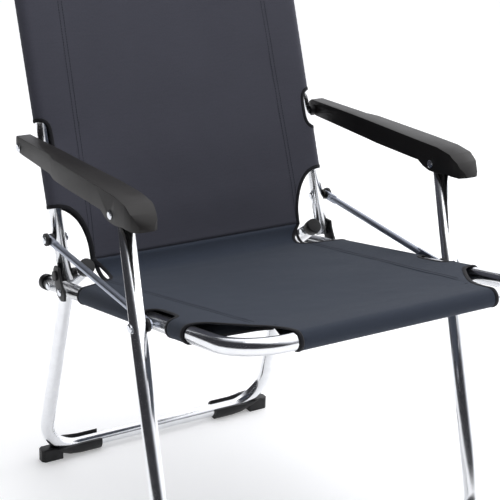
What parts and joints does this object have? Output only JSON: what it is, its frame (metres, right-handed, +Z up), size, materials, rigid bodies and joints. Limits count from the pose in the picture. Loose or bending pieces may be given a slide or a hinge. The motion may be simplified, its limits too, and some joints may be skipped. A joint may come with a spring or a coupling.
{
  "type": "folding camp chair",
  "caption": "Low folding camp chair with a bent tube frame, sling fabric seat and back, moulded armrests, stay rods and floor rails with corner shoes.",
  "frame": {"origin": "on the floor, under the middle of the overall box", "axes": "+Z up, -Y the way the sitter faces, +X the sitter's left"},
  "size_m": [0.5532, 0.6834, 0.872],
  "materials": {
    "tube_aluminium": "polished, drawn tube",
    "rivet_metal": "bright, domed",
    "stay_metal": "satin blue-grey",
    "black_plastic": "moulded, fine grain",
    "armrest_plastic": "moulded, matte grain",
    "seat_cloth": "plain weave, blue-grey",
    "back_cloth": "plain weave, dark blue-grey"
  },
  "bodies": {
    "armrests": {"armrest_front_rivet_left": "rivet_metal", "armrest_front_rivet_right": "rivet_metal", "armrest_left": "armrest_plastic", "armrest_rear_rivet_left": "rivet_metal", "armrest_rear_rivet_right": "rivet_metal", "armrest_right": "armrest_plastic", "armrest_spacer_left": "black_plastic", "armrest_spacer_right": "black_plastic"},
    "backrest": {"back_fabric": "back_cloth", "back_frame": "tube_aluminium"},
    "front_legs": {"front_foot_left": "black_plastic", "front_foot_right": "black_plastic", "front_leg_frame": "tube_aluminium"},
    "seat": {"hinge_plate_left": "black_plastic", "hinge_plate_right": "black_plastic", "hinge_plate_rivet_left": "rivet_metal", "hinge_plate_rivet_right": "rivet_metal", "leg_rivet_left": "rivet_metal", "leg_rivet_right": "rivet_metal", "leg_spacer_left": "black_plastic", "leg_spacer_right": "black_plastic", "rear_leg_rivet_left": "rivet_metal", "rear_leg_rivet_right": "rivet_metal", "rear_leg_washer_left": "black_plastic", "rear_leg_washer_right": "black_plastic", "seat_fabric": "seat_cloth", "seat_frame": "tube_aluminium", "seat_tube_cap_left": "black_plastic", "seat_tube_cap_right": "black_plastic", "stay_cap_left": "black_plastic", "stay_cap_right": "black_plastic", "stay_rivet_left": "rivet_metal", "stay_rivet_right": "rivet_metal", "stay_rod_left": "stay_metal", "stay_rod_right": "stay_metal", "stay_spacer_left": "black_plastic", "stay_spacer_right": "black_plastic"},
    "rear_legs": {"rear_foot_left": "black_plastic", "rear_foot_right": "black_plastic", "rear_leg_cap_left": "black_plastic", "rear_leg_cap_right": "black_plastic", "rear_leg_frame": "tube_aluminium", "rear_leg_pin_left": "rivet_metal", "rear_leg_pin_right": "rivet_metal", "rear_leg_spacer_left": "black_plastic", "rear_leg_spacer_right": "black_plastic"}
  },
  "joints": [
    {"name": "backrest_fold", "type": "hinge", "parent": "seat", "child": "backrest", "pos_m": [0, 0.17666, 0.426], "axis": [1, 0, 0], "range_deg": [0, 84]},
    {"name": "front_leg_fold", "type": "hinge", "parent": "seat", "child": "front_legs", "pos_m": [0, -0.12684, 0.4037], "axis": [1, 0, 0], "range_deg": [0, 79.98]},
    {"name": "armrest_turn", "type": "hinge", "parent": "front_legs", "child": "armrests", "pos_m": [0, -0.09034, 0.546], "axis": [1, 0, 0], "range_deg": [-77.8, 0]},
    {"name": "rear_leg_fold", "type": "hinge", "parent": "seat", "child": "rear_legs", "pos_m": [0, 0.20316, 0.3423], "axis": [1, 0, 0], "range_deg": [-112.6, 0]}
  ],
  "couplings": [
    {"joint": "front_leg_fold", "follows": "backrest_fold", "ratio": 0.951},
    {"joint": "armrest_turn", "follows": "backrest_fold", "ratio": -0.925},
    {"joint": "rear_leg_fold", "follows": "backrest_fold", "ratio": -1.3393}
  ]
}
